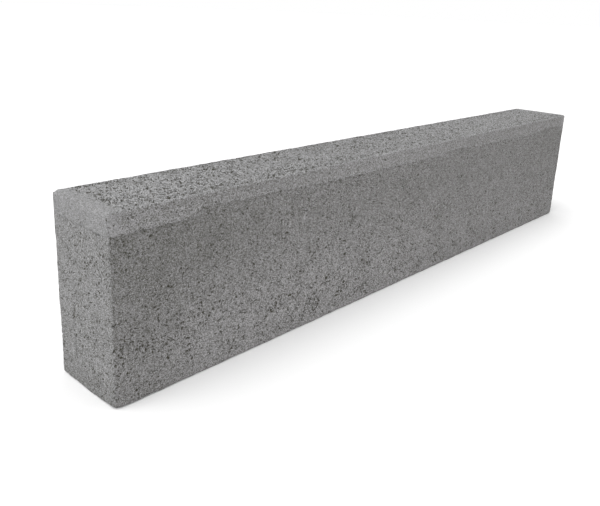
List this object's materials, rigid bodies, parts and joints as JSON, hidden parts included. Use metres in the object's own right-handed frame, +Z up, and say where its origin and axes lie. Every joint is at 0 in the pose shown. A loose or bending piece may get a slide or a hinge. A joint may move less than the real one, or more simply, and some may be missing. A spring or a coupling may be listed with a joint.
{
  "type": "parking wheel stop",
  "caption": "Precast concrete kerb unit used as a parking wheel stop: a straight solid bar with a finer facing mix bonded along its top.",
  "frame": {"origin": "centre of the base, at ground level", "axes": "+X along the unit to its right end, +Y from the front face to the back face, +Z up"},
  "size_m": [1, 0.1, 0.2],
  "materials": {
    "core_concrete": "matte",
    "facing_mix": "matte"
  },
  "bodies": {
    "root": {"core_concrete": "core_concrete", "facing_mix": "facing_mix"}
  },
  "joints": []
}
